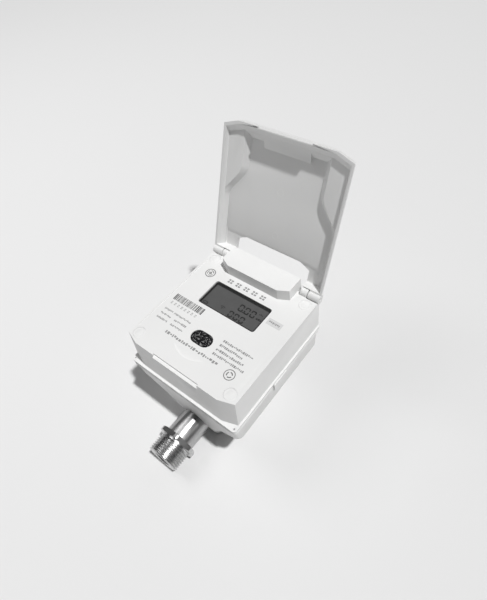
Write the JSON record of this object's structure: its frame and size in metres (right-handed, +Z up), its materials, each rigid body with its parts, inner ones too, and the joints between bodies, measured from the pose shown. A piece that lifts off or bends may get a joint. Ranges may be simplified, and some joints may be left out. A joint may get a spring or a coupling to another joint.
{
  "type": "ultrasonic water meter",
  "caption": "Small ultrasonic water meter: a threaded steel flow tube through a tapered housing with a display, an optical port and a hinged lid.",
  "frame": {"origin": "centre of the flat resting face under the lower housing, below the middle of the panel", "axes": "+X across the meter, +Y along the pipe from the front connector (away from the display's reader) to the rear one, +Z up, out of the display panel"},
  "size_m": [0.102, 0.1786, 0.1925],
  "materials": {
    "white_case": "fine satin moulded plastic",
    "steel": "turned stainless steel",
    "black_rubber": "matte",
    "black_plastic": "gloss",
    "clear_window": "clear, polished",
    "display_glass": "grey liquid-crystal glass",
    "circuit_board": "solder mask",
    "battery_sleeve": "shrink sleeve",
    "capacitor_sleeve": "shrink sleeve",
    "grey_plastic": "moulded",
    "transducer": "filled plastic over ceramic",
    "wire_jacket": "soft jacket"
  },
  "bodies": {
    "meter": {"antenna_board": "circuit_board", "battery": "battery_sleeve", "battery_cradle": "grey_plastic", "board_screw_1": "steel", "board_screw_2": "steel", "board_screw_3": "steel", "board_screw_4": "steel", "case_screw_1": "steel", "case_screw_2": "steel", "case_screw_3": "steel", "case_screw_4": "steel", "circuit_board": "circuit_board", "display_bezel": "black_plastic", "display_window": "clear_window", "flange_gasket": "black_rubber", "flow_insert": "grey_plastic", "hinge_pin_left": "steel", "hinge_pin_right": "steel", "inlet_connector": "steel", "ir_emitter": "black_plastic", "ir_receiver": "black_plastic", "ir_window": "black_plastic", "lcd_contact_strip": "black_rubber", "lcd_glass": "display_glass", "lower_housing": "white_case", "measuring_tube": "steel", "mirror_front": "steel", "mirror_rear": "steel", "neck_seal_front": "black_rubber", "neck_seal_rear": "black_rubber", "o_ring_front": "black_rubber", "o_ring_rear": "black_rubber", "outlet_connector": "steel", "pipe_saddle_front": "steel", "pipe_saddle_rear": "steel", "radio_module": "grey_plastic", "retainer_front": "steel", "retainer_rear": "steel", "saddle_screw_1": "steel", "saddle_screw_2": "steel", "saddle_screw_3": "steel", "saddle_screw_4": "steel", "screw_plug_1": "white_case", "screw_plug_2": "white_case", "screw_plug_3": "white_case", "screw_plug_4": "white_case", "sensor_lead_front": "wire_jacket", "sensor_lead_rear": "wire_jacket", "storage_capacitor": "capacitor_sleeve", "strainer": "grey_plastic", "transducer_front": "transducer", "transducer_rear": "transducer", "upper_housing": "white_case"},
    "lid": {"lid": "white_case"}
  },
  "joints": [
    {"name": "lid_hinge", "type": "hinge", "parent": "meter", "child": "lid", "pos_m": [0, 0.0506, 0.0976], "axis": [1, 0, 0], "range_deg": [0, 109.8]}
  ]
}
